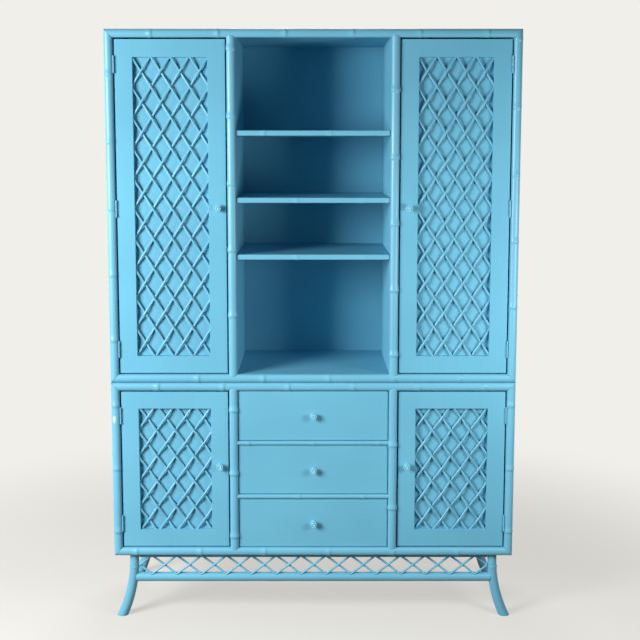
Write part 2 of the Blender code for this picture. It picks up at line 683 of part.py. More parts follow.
def main():
    clear_scene()
    paint = make_material("blue_satin_paint", 114, 185, 214, 0.42)
    inner_paint = make_material("blue_case_paint", 104, 172, 204, 0.48)
    trim_paint = make_material("blue_moulding_paint", 124, 194, 221, 0.38)
    hinge_paint = make_material("painted_hinge_steel", 112, 180, 208, 0.40, 0.1)

    make_stage_panels("lower", LEG_HEIGHT, STAGE, LOWER_FLOOR, inner_paint)
    make_stage_panels("upper", STAGE + SEAT_GAP, TOP, BAY_FLOOR, inner_paint)
    make_stage_mouldings("lower", LEG_HEIGHT, STAGE, LOWER_TOP_RAIL_NODE, LOWER_BOTTOM_RAIL_NODE,
                         LOWER_STILE_NODE, LOWER_STILE_NODE, trim_paint)
    make_stage_mouldings("upper", STAGE + SEAT_GAP, TOP, UPPER_TOP_RAIL_NODE, UPPER_BOTTOM_RAIL_NODE,
                         UPPER_LEFT_STILE_NODE, UPPER_RIGHT_STILE_NODE, trim_paint)

    sides = (("left", -1, LOWER_LEFT_DIVIDER_NODE, UPPER_LEFT_DIVIDER_NODE),
             ("right", 1, LOWER_RIGHT_DIVIDER_NODE, UPPER_RIGHT_DIVIDER_NODE))
    for name, side, lower_node, upper_node in sides:
        lower = make_divider("lower", name, side, LOWER_FLOOR, LOWER_CEILING, LOWER_LINTEL,
                             lower_node, paint)
        add_runners(lower, side)
        finish(lower)
        upper = make_divider("upper", name, side, BAY_FLOOR, BAY_CEILING, UPPER_LINTEL,
                             upper_node, paint)
        add_shelf_pins(upper, side)
        finish(upper)
        make_door("lower", name, side, LOWER_FLOOR, LOWER_LINTEL, 2, LOWER_LATTICE_DOWN,
                  LOWER_KNOB_RISE, paint, hinge_paint)
        make_door("upper", name, side, BAY_FLOOR, UPPER_LINTEL, 3, UPPER_LATTICE_DOWN,
                  UPPER_KNOB_RISE, paint, hinge_paint)
        make_leg(f"front_{name}_leg", side, FACE + FRONT_LEG_INSET, paint)
        make_leg(f"rear_{name}_leg", side, REAR - REAR_LEG_INSET, paint)

    make_shelf("bottom_shelf", BOTTOM_SHELF_RISE, OTHER_SHELF_NODE, paint)
    make_shelf("middle_shelf", MIDDLE_SHELF_RISE, OTHER_SHELF_NODE, paint)
    make_shelf("top_shelf", TOP_SHELF_RISE, TOP_SHELF_NODE, paint)
    make_drawer_rail("lower_drawer_rail", 1, LOWER_DRAWER_RAIL_NODE, trim_paint)
    make_drawer_rail("upper_drawer_rail", 2, UPPER_DRAWER_RAIL_NODE, trim_paint)
    for level, name in enumerate(("bottom_drawer", "middle_drawer", "top_drawer")):
        make_drawer(name, level, paint)
    make_apron("front_apron", paint)


main()
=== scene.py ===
import math

import bmesh
import bpy
from mathutils import Matrix, Vector


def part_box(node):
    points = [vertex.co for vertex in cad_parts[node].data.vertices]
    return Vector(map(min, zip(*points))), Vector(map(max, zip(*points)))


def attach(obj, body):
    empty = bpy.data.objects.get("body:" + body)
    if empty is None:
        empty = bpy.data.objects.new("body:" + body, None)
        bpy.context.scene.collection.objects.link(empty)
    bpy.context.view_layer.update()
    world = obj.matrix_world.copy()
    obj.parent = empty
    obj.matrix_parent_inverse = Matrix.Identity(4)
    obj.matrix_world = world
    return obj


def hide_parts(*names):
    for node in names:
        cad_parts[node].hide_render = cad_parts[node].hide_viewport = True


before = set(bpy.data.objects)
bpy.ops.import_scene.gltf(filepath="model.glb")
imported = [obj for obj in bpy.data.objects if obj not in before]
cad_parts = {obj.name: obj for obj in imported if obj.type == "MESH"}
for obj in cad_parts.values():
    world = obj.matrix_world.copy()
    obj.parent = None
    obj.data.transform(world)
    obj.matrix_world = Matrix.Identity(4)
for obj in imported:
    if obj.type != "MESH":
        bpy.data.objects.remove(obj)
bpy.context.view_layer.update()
print("frame loaded:", len(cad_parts), "nodes")

# Shared sizes of the case, in metres, as they are in the frame. The front faces -Y.
caseWork = {
    "face": -0.20985,        # front edges of sides, dividers and shelves
    "backFront": 0.22715,    # inner face of the backs
    "gap": 0.0003,           # hairline between pieces that touch
    "board": 0.0286,         # thickness of sides and dividers
    "bayHalf": 0.2565,       # half the clear width of the middle bay
    "sideInner": 0.6574,     # inner face of the sides
    "doorFront": -0.20885,
    "doorBack": -0.18685,
    "easedEdge": 0.0009,     # sanded and painted edges of boards
}
stages = {
    "lower": {"floor": 0.2526, "ceiling": 0.8125, "lintel": 0.8029},
    "upper": {"floor": 0.8601, "ceiling": 1.9890, "lintel": 1.9794},
}


def lerp(a, b, share):
    return a + (b - a) * share


def camel(node):
    words = node.split("_")
    return words[0] + "".join(word.capitalize() for word in words[1:])


# Finishes

def hexColour(text):
    parts = [int(text[k:k + 2], 16) / 255 for k in (1, 3, 5)]
    straight = [p / 12.92 if p <= 0.04045 else ((p + 0.055) / 1.055) ** 2.4 for p in parts]
    return (*straight, 1.0)


def addNode(tree, kind, inputs=None, **settings):
    node = tree.nodes.new(kind)
    for name, value in settings.items():
        setattr(node, name, value)
    for socket, value in (inputs or {}).items():
        if isinstance(value, bpy.types.NodeSocket):
            tree.links.new(value, node.inputs[socket])
        else:
            node.inputs[socket].default_value = value
    return node


def newFinish(name):
    finish = bpy.data.materials.new(name)
    finish.use_nodes = True
    tree = finish.node_tree
    return finish, tree, tree.nodes["Principled BSDF"]


# Satin alkyd enamel, brushed on: soft sheen, faint brush marks along the board, and a tone that
# drifts a little from place to place. The brush marks are drawn coarser than real so they show.
enamel = {
    "tone": "#6EB7D1",
    "deepTone": "#67ACC7",
    "paintedHighlightTone": "#84CBE2",       # knobs are painted paler, a painted highlight for the light their heads catch
    "paintedHighlightDeepTone": "#7BC0D9",
    "driftSize": 0.32,           # metres across one drift of tone
    "strokeWidth": 0.0045,
    "strokeLength": 0.22,
    "strokeRelief": 0.00012,
    "strokeShare": 0.35,         # how much a brush mark counts beside the drift of tone
    "strokeSpread": (0.3, 0.7),  # noise that gives the smoothest and the roughest paint
    "toneSpread": (0.42, 0.95),  # noise that gives the pale and the deep tone
    "peelSize": 0.0026,          # orange-peel pimples of the dried film
    "peelRelief": 0.00005,
    "bumpStrength": 0.6,
    "refraction": 1.5,
    "roughLow": 0.34,
    "roughHigh": 0.47,
    "boardSheen": 0.07,          # brushed flats look duller than the sprayed round work
    "roundSheen": 0.41,
    "knobSheen": 0.60,
    "chipAt": (-0.6752, 0.7055),     # x and z of the one chip on the lower left stile
    "chipReach": (0.0070, 0.0147),
    "chipGrain": 1 / 260,            # metres across one tooth of its ragged edge
    "chipRagged": 1.3,
    "chipRim": (1.5, 1.35),          # ragged reach where the chip begins and where it is bare
    "primer": "#B4D2DA",
}


def enamelFinish(name, along, relief=1.0, shine=0.0, sheen=enamel["boardSheen"], chipped=False,
                 paintedHighlight=False):
    finish, tree, shader = newFinish(name)
    # The paler pair of tones is a painted highlight, used on the knobs
    pale, deep = ("paintedHighlightTone", "paintedHighlightDeepTone") if paintedHighlight else ("tone", "deepTone")
    place = addNode(tree, "ShaderNodeTexCoord").outputs["Object"]
    wide, long = 1 / enamel["strokeWidth"], 1 / enamel["strokeLength"]
    scale = [long if axis == along else wide for axis in "xyz"]
    strokePlace = addNode(tree, "ShaderNodeMapping", {"Vector": place, "Scale": scale})
    strokes = addNode(tree, "ShaderNodeTexNoise", {"Vector": strokePlace.outputs[0], "Scale": 1.0,
                                                   "Detail": 3.0, "Roughness": 0.6})
    drift = addNode(tree, "ShaderNodeTexNoise", {"Vector": place, "Scale": 1 / enamel["driftSize"],
                                                 "Detail": 2.0, "Roughness": 0.5})
    peel = addNode(tree, "ShaderNodeTexNoise", {"Vector": place, "Scale": 1 / enamel["peelSize"],
                                                "Detail": 1.0})
    blend = addNode(tree, "ShaderNodeMath", {0: strokes.outputs[0], 1: enamel["strokeShare"],
                                             2: drift.outputs[0]}, operation="MULTIPLY_ADD")
    paleAt, deepAt = enamel["toneSpread"]
    share = addNode(tree, "ShaderNodeMapRange", {"Value": blend.outputs[0], "From Min": paleAt,
                                                 "From Max": deepAt})
    tone = addNode(tree, "ShaderNodeMix", {0: share.outputs[0], 6: hexColour(enamel[pale]),
                                           7: hexColour(enamel[deep])}, data_type="RGBA")
    smoothAt, roughAt = enamel["strokeSpread"]
    rough = addNode(tree, "ShaderNodeMapRange", {"Value": strokes.outputs[0], "From Min": smoothAt,
                                                 "From Max": roughAt, "To Min": enamel["roughLow"] - shine,
                                                 "To Max": enamel["roughHigh"] - shine})
    strength = enamel["bumpStrength"]
    brushBump = addNode(tree, "ShaderNodeBump", {"Height": strokes.outputs[0], "Strength": strength,
                                                 "Distance": enamel["strokeRelief"] * relief})
    peelBump = addNode(tree, "ShaderNodeBump", {"Height": peel.outputs[0], "Strength": strength,
                                                "Distance": enamel["peelRelief"] * relief,
                                                "Normal": brushBump.outputs[0]})
    colour = tone.outputs[2]
    if chipped:
        # The chip shows pale primer, with a ragged edge
        cx, cz = enamel["chipAt"]
        rx, rz = enamel["chipReach"]
        spot = addNode(tree, "ShaderNodeMapping", {"Vector": place, "Location": (-cx / rx, 0, -cz / rz),
                                                   "Scale": (1 / rx, 0, 1 / rz)})
        reach = addNode(tree, "ShaderNodeVectorMath", {0: spot.outputs[0]}, operation="LENGTH")
        ragged = addNode(tree, "ShaderNodeTexNoise", {"Vector": place, "Scale": 1 / enamel["chipGrain"],
                                                      "Detail": 3.0})
        edge = addNode(tree, "ShaderNodeMath", {0: ragged.outputs[0], 1: enamel["chipRagged"],
                                                2: reach.outputs["Value"]}, operation="MULTIPLY_ADD")
        paintAt, bareAt = enamel["chipRim"]
        bare = addNode(tree, "ShaderNodeMapRange", {"Value": edge.outputs[0], "From Min": paintAt,
                                                    "From Max": bareAt})
        chip = addNode(tree, "ShaderNodeMix", {0: bare.outputs[0], 6: colour,
                                               7: hexColour(enamel["primer"])}, data_type="RGBA")
        colour = chip.outputs[2]
    tree.links.new(colour, shader.inputs["Base Color"])
    tree.links.new(rough.outputs[0], shader.inputs["Roughness"])
    tree.links.new(peelBump.outputs[0], shader.inputs["Normal"])
    shader.inputs["IOR"].default_value = enamel["refraction"]
    shader.inputs["Specular IOR Level"].default_value = sheen
    return finish


# Bare poplar, planed and sanded: pale, matt, with long soft grain lines
poplar = {
    "pale": "#CDB48C", "dark": "#AC8D62", "grainWidth": 0.007, "grainLength": 0.35, "relief": 0.0001,
    "waver": 0.4, "toneSpread": (0.35, 0.68), "roughLow": 0.60, "roughHigh": 0.78, "bumpStrength": 0.5,
}


def poplarFinish(name, along):
    finish, tree, shader = newFinish(name)
    place = addNode(tree, "ShaderNodeTexCoord").outputs["Object"]
    wide, long = 1 / poplar["grainWidth"], 1 / poplar["grainLength"]
    scale = [long if axis == along else wide for axis in "xyz"]
    grainPlace = addNode(tree, "ShaderNodeMapping", {"Vector": place, "Scale": scale})
    grain = addNode(tree, "ShaderNodeTexNoise", {"Vector": grainPlace.outputs[0], "Scale": 1.0,
                                                 "Detail": 5.0, "Distortion": poplar["waver"]})
    paleAt, darkAt = poplar["toneSpread"]
    share = addNode(tree, "ShaderNodeMapRange", {"Value": grain.outputs[0], "From Min": paleAt,
                                                 "From Max": darkAt})
    tone = addNode(tree, "ShaderNodeMix", {0: share.outputs[0], 6: hexColour(poplar["pale"]),
                                           7: hexColour(poplar["dark"])}, data_type="RGBA")
    rough = addNode(tree, "ShaderNodeMapRange", {"Value": grain.outputs[0], "To Min": poplar["roughLow"],
                                                 "To Max": poplar["roughHigh"]})
    bump = addNode(tree, "ShaderNodeBump", {"Height": grain.outputs[0], "Strength": poplar["bumpStrength"],
                                            "Distance": poplar["relief"]})
    tree.links.new(tone.outputs[2], shader.inputs["Base Color"])
    tree.links.new(rough.outputs[0], shader.inputs["Roughness"])
    tree.links.new(bump.outputs[0], shader.inputs["Normal"])
    return finish


uprightEnamel = enamelFinish("satinEnamelOnUprightBoard", "z")
levelEnamel = enamelFinish("satinEnamelOnLevelBoard", "x")
glossy = enamel["roundSheen"]
uprightMoulding = enamelFinish("satinEnamelOnUprightBamboo", "z", shine=0.04, sheen=glossy, chipped=True)
levelMoulding = enamelFinish("satinEnamelOnLevelBamboo", "x", shine=0.04, sheen=glossy)
rattanEnamel = enamelFinish("satinEnamelOnRattan", "z", relief=1.4, shine=0.06, sheen=glossy)
# Knobs take the paler tones: a painted highlight on their heads
knobEnamel = enamelFinish("satinEnamelOnTurnedWood", "y", relief=0.6, shine=0.16,
                          sheen=enamel["knobSheen"], paintedHighlight=True)
hingeEnamel = enamelFinish("satinEnamelOnSteel", "z", relief=0.5, shine=0.06, sheen=glossy)
poplarAlong = poplarFinish("barePoplarFrontToBack", "y")
poplarAcross = poplarFinish("barePoplarSideToSide", "x")
print("finishes ready")


# Shaping tools
shaping = {
    "creaseAngle": 38,       # degrees, sharper edges stay crisp
    "near": 1e-6,            # points closer than this count as one
    "ringNear": 1e-5,        # and heights closer than this as one ring
}


def makePiece(name, bm, body, slotName, finish, *nodes):
    bmesh.ops.recalc_face_normals(bm, faces=bm.faces[:])
    mesh = bpy.data.meshes.new(name)
    bm.to_mesh(mesh)
    bm.free()
    mesh.shade_smooth()
    mesh.set_sharp_from_angle(angle=math.radians(shaping["creaseAngle"]))
    mesh.materials.append(finish)
    piece = bpy.data.objects.new(name, mesh)
    bpy.context.collection.objects.link(piece)
    # Large faces lead the normals, so that a flat stays flat up to its eased edge
    piece.modifiers.new("areaNormals", "WEIGHTED_NORMAL").keep_sharp = True
    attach(piece, body)
    if nodes:
        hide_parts(*nodes)
    return piece


def ordered(items):
    return list(dict.fromkeys(items))


def easeEdges(bm, edges, reach, segments=2):
    bmesh.ops.bevel(bm, geom=edges, offset=reach, offset_type="OFFSET", affect="EDGES", segments=segments,
                    profile=0.5, material=-1, clamp_overlap=True)


def addBlock(bm, low, high):
    size = [b - a for a, b in zip(low, high)]
    middle = [(a + b) / 2 for a, b in zip(low, high)]
    matrix = Matrix.Translation(middle) @ Matrix.Diagonal((*size, 1))
    return bmesh.ops.create_cube(bm, size=1, matrix=matrix)["verts"]


def addSlab(bm, low, high, edge):
    verts = addBlock(bm, low, high)
    easeEdges(bm, ordered(e for v in verts for e in v.link_edges), edge)


def newEnds(grown):
    verts = [g for g in grown if isinstance(g, bmesh.types.BMVert)]
    edges = [g for g in grown if isinstance(g, bmesh.types.BMEdge) and g.is_boundary]
    return verts, edges


def sweepRod(bm, stations, sides):
    # Each station is a matrix that puts a unit circle in its place, turned and scaled
    ring = bmesh.ops.create_circle(bm, cap_ends=True, segments=sides, radius=1, matrix=stations[0])["verts"]
    edges = ordered(e for v in ring for e in v.link_edges)
    for before, after in zip(stations, stations[1:]):
        verts, edges = newEnds(bmesh.ops.extrude_edge_only(bm, edges=edges)["geom"])
        bmesh.ops.transform(bm, matrix=after @ before.inverted(), verts=verts)
    bmesh.ops.edgeloop_fill(bm, edges=edges)


def station(point, along, across, wide, thick):
    along = along.normalized()
    across = (across - along * across.dot(along)).normalized()
    out = along.cross(across)
    matrix = Matrix((across * wide, out * thick, along * wide)).transposed().to_4x4()
    matrix.translation = point
    return matrix


def spinProfile(bm, profile, place, steps):
    # Turned about local Y, as on a lathe: radius and distance pairs
    chain = [bm.verts.new((radius, distance, 0)) for radius, distance in profile]
    edges = [bm.edges.new(pair) for pair in zip(chain, chain[1:])]
    bmesh.ops.spin(bm, geom=chain + edges, cent=(0, 0, 0), axis=(0, 1, 0), angle=2 * math.pi, steps=steps,
                   use_merge=True)
    bmesh.ops.remove_doubles(bm, verts=bm.verts[:], dist=shaping["near"])
    bmesh.ops.transform(bm, matrix=place, verts=bm.verts[:])


# Bamboo-pattern half-round moulding. A joint rises gently, stands as a lip and drops into a groove.
bamboo = {
    "spacing": 0.221,
    # Place along the run, and share of the full swell there
    "joint": ((-0.024, 0.0), (-0.0185, 0.03), (-0.0150, 0.12), (-0.0110, 0.34), (-0.0070, 0.66),
              (-0.0035, 0.92), (-0.0008, 1.0), (0.0012, 0.97), (0.0030, 0.80), (0.0048, 0.50), (0.0066, 0.20),
              (0.0084, 0.0), (0.0110, -0.07), (0.0150, -0.04), (0.024, 0.0)),
    "crownRise": 0.0027,     # how far a lip stands out in front of the run
    "sideRise": 0.0008,      # and beyond each of its sides
    "endMargin": 0.034,
    "arcSteps": 12,
}


def runSteps(start, end, first, flip, strength=1.0):
    joint = bamboo["joint"]
    if flip:
        joint = [(-offset, swell) for offset, swell in joint[::-1]]
    steps = [(start, 0.0)]
    place = first
    while place < end - bamboo["endMargin"]:
        if place > start + bamboo["endMargin"] / 2:
            for offset, swell in joint:
                if start < place + offset < end:
                    steps.append((place + offset, swell * strength))
        place += bamboo["spacing"]
    steps.append((end, 0.0))
    return steps


def halfRound(width, proud, steps, corner=None, sideRise=None):
    # Local: x across, y outwards, z along. A small corner leaves the middle of the front flat.
    corner = corner or width / 2
    sideRise = sideRise or bamboo["sideRise"]
    bm = bmesh.new()
    first = bm.verts.new((corner, 0, steps[0][0]))
    arc = bmesh.ops.spin(bm, geom=[first], cent=(0, 0, steps[0][0]), axis=(0, 0, 1), angle=math.pi,
                         steps=bamboo["arcSteps"])
    last = [g for g in arc["geom_last"] if isinstance(g, bmesh.types.BMVert)][0]
    bmesh.ops.scale(bm, vec=(1, proud / corner, 1), verts=bm.verts[:])
    for side in (1, -1):
        half = [v for v in bm.verts if v.co.x * side > shaping["near"]]
        bmesh.ops.translate(bm, vec=(side * (width / 2 - corner), 0, 0), verts=half)
    bm.edges.new((first, last))
    edges = bm.edges[:]
    height, swell = steps[0]
    for nextHeight, nextSwell in steps[1:]:
        verts, edges = newEnds(bmesh.ops.extrude_edge_only(bm, edges=edges)["geom"])
        side = (width / 2 + nextSwell * sideRise) / (width / 2 + swell * sideRise)
        rise = (proud + nextSwell * bamboo["crownRise"]) / (proud + swell * bamboo["crownRise"])
        bmesh.ops.translate(bm, vec=(0, 0, nextHeight - height), verts=verts)
        bmesh.ops.scale(bm, vec=(side, rise, 1), verts=verts)
        height, swell = nextHeight, nextSwell
    bmesh.ops.holes_fill(bm, edges=bm.edges[:], sides=0)
    return bm


def trim(bm, point, outward):
    cut = bmesh.ops.bisect_plane(bm, geom=bm.verts[:] + bm.edges[:] + bm.faces[:], plane_co=point,
                                 plane_no=outward, clear_outer=True)
    rim = [g for g in cut["geom_cut"] if isinstance(g, bmesh.types.BMEdge)]
    bmesh.ops.holes_fill(bm, edges=rim, sides=0)


def runPlace(upright, across, base, along):
    # Puts a run's local axes where it lies: level runs go along +X, upright ones along +Z
    if upright:
        return Matrix(((1, 0, 0, across), (0, -1, 0, base), (0, 0, 1, along), (0, 0, 0, 1)))
    return Matrix(((0, 0, 1, along), (0, -1, 0, base), (1, 0, 0, across), (0, 0, 0, 1)))


# Outer mouldings, mitred at the corners. First joint of each, from its left or lower end.
outerRuns = {
    "proud": 0.0100,
    "seam": 0.0010,              # dark line where two runs lie side by side
    "stileSideRise": 0.0009,     # the hinge barrels stand close to these
    "firstJoint": {
        "upper_top_rail": 0.153, "upper_bottom_rail": 0.297, "lower_top_rail": 0.160,
        "lower_bottom_rail": 0.078, "upper_left_stile": 0.145, "upper_right_stile": 0.258,
        "lower_left_stile": 0.086, "lower_right_stile": 0.086,
    },
}


def makeOuterRuns():
    for node, first in outerRuns["firstJoint"].items():
        low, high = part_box(node)
        upright = "stile" in node
        width = caseWork["board"] - outerRuns["seam"]
        length = high.z - low.z if upright else high.x - low.x
        outer = -1 if "left" in node or "bottom" in node else 1
        rise = outerRuns["stileSideRise"] if upright else None
        steps = runSteps(-width, length + width, first, upright)
        bm = halfRound(width, outerRuns["proud"], steps, sideRise=rise)
        hair = (caseWork["gap"] + outerRuns["seam"]) / 2
        trim(bm, (outer * width / 2, 0, hair), (-outer, 0, -1))
        trim(bm, (outer * width / 2, 0, length - hair), (-outer, 0, 1))
        across = (low.x + high.x) / 2 if upright else (low.z + high.z) / 2
        start = low.z if upright else low.x
        place = runPlace(upright, across, caseWork["face"] - caseWork["gap"], start)
        bmesh.ops.transform(bm, matrix=place, verts=bm.verts[:])
        finish = uprightMoulding if upright else levelMoulding
        makePiece(camel(node), bm, "cabinet", "moulding_paint", finish, node)


makeOuterRuns()
print("outer mouldings done")


# Flat case boards, with edges eased by sanding and paint
caseBoards = ("left_side", "right_side", "top", "bottom", "back")


def makeCaseBoards():
    for stage in stages:
        for board in caseBoards:
            node = f"{stage}_{board}"
            low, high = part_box(node)
            bm = bmesh.new()
            addSlab(bm, low, high, caseWork["easedEdge"])
            finish = levelEnamel if board in ("top", "bottom") else uprightEnamel
            makePiece(camel(node), bm, "cabinet", "case_paint", finish, node)


makeCaseBoards()
print("case boards done")


# Dividers with their door stop, and shelf pins or drawer runners. Middle stiles are coped over the rails.
dividers = {
    "stop": (0.014, 0.014, 0.040), "stopEdge": 0.0015,
    "root": 0.001,           # how far stops and runners are let into the board
    "pinRadius": 0.003, "pinLength": 0.009, "pinInset": 0.060, "pinRoot": 0.002, "pinSides": 12,
    "pinTip": ((0.0, 0.55), (0.0006, 0.9), (0.0014, 1.0)),     # distance, share of the radius
    "runnerWidth": 0.014, "runnerHeight": 0.012, "runnerFront": 0.0040, "runnerRear": 0.20715,
    "runnerEdge": 0.0008,
    "stileProud": 0.0102, "stileLap": 0.0090, "stileSideRise": 0.0022,
    # Rounding of each end of a stile: distance, share of its height
    "tip": ((0.0, 0.30), (0.0004, 0.62), (0.0012, 0.84), (0.0024, 0.96), (0.0040, 1.0)),
    "tipSideShare": 0.45,    # and how much of that its sides follow
    "firstJoint": {"upper_left": 0.200, "upper_right": 0.066, "lower_left": 0.040, "lower_right": 0.140},
}
shelfTops = {"bottom_shelf": 1.2671, "middle_shelf": 1.4571, "top_shelf": 1.6791}
shelf = {"thickness": 0.018, "nose": 0.004, "setback": 0.001, "endGap": 0.0013}
drawers = {
    "names": ("bottom_drawer", "middle_drawer", "top_drawer"), "firstBase": 0.2526, "step": 0.1881,
    "frontThickness": 0.019, "frontEdge": 0.0016, "wall": 0.012, "wallEdge": 0.0008, "topClearance": 0.028,
    "floor": 0.006, "floorLift": 0.0005, "floorEdge": 0.0003,
    "groove": 0.004,         # how far the floor goes into the walls
    "railHeight": 0.014, "railNose": 0.007,
}


def addPin(bm, centre, length, side):
    along = Vector((side, 0, 0))
    radius = dividers["pinRadius"]
    start = centre - along * length
    points = (*dividers["pinTip"], (length + dividers["pinRoot"], 1.0))
    sweepRod(bm, [station(start + along * d, along, Vector((0, 0, 1)), radius * r, radius * r)
                  for d, r in points], dividers["pinSides"])


def addRunners(bm, side):
    bayHalf = caseWork["bayHalf"]
    xs = sorted((side * (bayHalf - dividers["runnerWidth"]), side * (bayHalf + dividers["root"])))
    near = caseWork["doorFront"] + drawers["frontThickness"] + dividers["runnerFront"]
    for level in range(3):
        base = drawers["firstBase"] + level * drawers["step"] + caseWork["gap"]
        addSlab(bm, (xs[0], near, base), (xs[1], dividers["runnerRear"], base + dividers["runnerHeight"]),
                dividers["runnerEdge"])


def addPins(bm, side):
    for top in shelfTops.values():
        height = top - shelf["thickness"] - caseWork["gap"] - dividers["pinRadius"]
        for depth in (caseWork["face"] + dividers["pinInset"], caseWork["backFront"] - dividers["pinInset"]):
            addPin(bm, Vector((side * caseWork["bayHalf"], depth, height)), dividers["pinLength"], side)


def roundTips(bm, length):
    # Cuts rings close to each end and draws them in, so that the end is a rounded lip
    for share in dividers["tip"][1:]:
        for height in (share[0], length - share[0]):
            bmesh.ops.bisect_plane(bm, geom=bm.verts[:] + bm.edges[:] + bm.faces[:], plane_co=(0, 0, height),
                                   plane_no=(0, 0, 1))
    for distance, scale in dividers["tip"]:
        for height in (distance, length - distance):
            ring = [v for v in bm.verts if abs(v.co.z - height) < shaping["ringNear"]]
            bmesh.ops.scale(bm, vec=(lerp(1, scale, dividers["tipSideShare"]), scale, 1), verts=ring)


def makeDivider(stage, name, side):
    sizes = stages[stage]
    gap = caseWork["gap"]
    xs = sorted((side * caseWork["bayHalf"], side * (caseWork["bayHalf"] + caseWork["board"])))
    bm = bmesh.new()
    addSlab(bm, (xs[0], caseWork["face"], sizes["floor"] + gap),
            (xs[1], caseWork["backFront"] - gap, sizes["ceiling"] - gap), caseWork["easedEdge"])
    wide, deep, tall = dividers["stop"]
    outside = caseWork["bayHalf"] + caseWork["board"]
    stopXs = sorted((side * (outside - dividers["root"]), side * (outside + wide)))
    middle = (sizes["floor"] + sizes["lintel"]) / 2
    stopFront = caseWork["doorBack"] + gap
    addSlab(bm, (stopXs[0], stopFront, middle - tall / 2),
            (stopXs[1], stopFront + deep, middle + tall / 2), dividers["stopEdge"])
    if stage == "upper":
        addPins(bm, side)
    else:
        addRunners(bm, side)
    node = f"{stage}_{name}_divider"
    makePiece(camel(node), bm, "cabinet", "case_paint", uprightEnamel, node)
    start = sizes["floor"] - dividers["stileLap"]
    length = sizes["lintel"] + dividers["stileLap"] - start
    first = dividers["firstJoint"][f"{stage}_{name}"] + dividers["stileLap"]
    bm = halfRound(caseWork["board"], dividers["stileProud"], runSteps(0.0, length, first, True),
                   sideRise=dividers["stileSideRise"])
    roundTips(bm, length)
    place = runPlace(True, sum(xs) / 2, caseWork["face"] - gap, start)
    bmesh.ops.transform(bm, matrix=place, verts=bm.verts[:])
    makePiece(camel(f"{stage}_{name}_middle_stile"), bm, "cabinet", "moulding_paint", uprightMoulding)


for stage in stages:
    makeDivider(stage, "left", -1)
    makeDivider(stage, "right", 1)
print("dividers done")


# Shelves and drawer rails, with a narrow bamboo nosing
nosings = {
    "shelfStrength": 0.6, "railStrength": 0.8,       # share of a full joint's swell
    "shelfCorner": 0.0030, "railCorner": 0.0048,     # rounding of a nosing's two edges
    "shelfJoint": {"bottom_shelf": 0.201, "middle_shelf": 0.201, "top_shelf": 0.092},
    "railJoint": {"lower_drawer_rail": 0.207, "upper_drawer_rail": 0.036},
    "railLap": 0.006,        # how far a rail's nosing runs into the flank of a middle stile
    "boardEdge": 0.0006,     # easing of the board behind a nosing
    "slimmer": 0.0002,       # a shelf's nosing is this much thinner than its board
    "endAngle": 1.2,         # radians, sharper end edges of a shelf's nosing are eased
    "endEase": 0.0012,
}


def makeShelf(node, first):
    low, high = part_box(node)
    plane = caseWork["face"] + shelf["setback"] + shelf["nose"]
    left, right = low.x + shelf["endGap"], high.x - shelf["endGap"]
    bm = bmesh.new()
    addSlab(bm, (left, plane, low.z), (right, high.y, high.z), nosings["boardEdge"])
    makePiece(camel(node), bm, "cabinet", "case_paint", levelEnamel, node)
    steps = runSteps(0.0, right - left, first, False, nosings["shelfStrength"])
    bm = halfRound(shelf["thickness"] - nosings["slimmer"], shelf["nose"], steps, nosings["shelfCorner"])
    easeEdges(bm, [e for e in bm.edges if e.calc_face_angle(0) > nosings["endAngle"] and e.is_convex
                   and abs(e.verts[0].co.z - e.verts[1].co.z) < shaping["near"]], nosings["endEase"])
    bmesh.ops.transform(bm, matrix=runPlace(False, (low.z + high.z) / 2, plane, left), verts=bm.verts[:])
    makePiece(camel(node + "_nosing"), bm, "cabinet", "moulding_paint", levelMoulding)


def makeDrawerRail(node, first):
    low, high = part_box(node)
    bm = bmesh.new()
    addSlab(bm, (low.x, caseWork["face"], low.z), (high.x, high.y, high.z), nosings["boardEdge"])
    makePiece(camel(node), bm, "cabinet", "moulding_paint", levelEnamel, node)
    lap = nosings["railLap"]
    steps = runSteps(-lap, high.x - low.x + lap, first, False, nosings["railStrength"])
    bm = halfRound(drawers["railHeight"], drawers["railNose"], steps, nosings["railCorner"])
    bmesh.ops.transform(bm, matrix=runPlace(False, (low.z + high.z) / 2, caseWork["face"], low.x),
                        verts=bm.verts[:])
    makePiece(camel(node + "_nosing"), bm, "cabinet", "moulding_paint", levelMoulding)


for node, first in nosings["shelfJoint"].items():
    makeShelf(node, first)
for node, first in nosings["railJoint"].items():
    makeDrawerRail(node, first)
print("shelves and drawer rails done")


# Turned knobs: seat, swept neck, fat head with a groove, a ring and a dimple
knob = {
    "profile": ((0.0, 0.0), (0.0090, 0.0), (0.0092, 0.0012), (0.0090, 0.0028), (0.0078, 0.0044),
                (0.0066, 0.0066), (0.0062, 0.0090), (0.0069, 0.0112), (0.0094, 0.0129), (0.0113, 0.0140),
                (0.0120, 0.0152), (0.0122, 0.0167), (0.0120, 0.0183), (0.0114, 0.0194), (0.0106, 0.0199),
                (0.0098, 0.0198), (0.0091, 0.0191), (0.0085, 0.0184), (0.0079, 0.0182), (0.0073, 0.0188),
                (0.0066, 0.0202), (0.0058, 0.0215), (0.0049, 0.0221), (0.0040, 0.0219), (0.0031, 0.0210),
                (0.0022, 0.0200), (0.0011, 0.0194), (0.0, 0.0193)),
    "steps": 36,
}


def makeKnob(node, body):
    low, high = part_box(node)
    place = Matrix(((1, 0, 0, (low.x + high.x) / 2), (0, -1, 0, high.y), (0, 0, 1, (low.z + high.z) / 2),
                    (0, 0, 0, 1)))
    bm = bmesh.new()
    spinProfile(bm, knob["profile"], place, knob["steps"])
    makePiece(camel(node), bm, body, "knob_paint", knobEnamel, node)


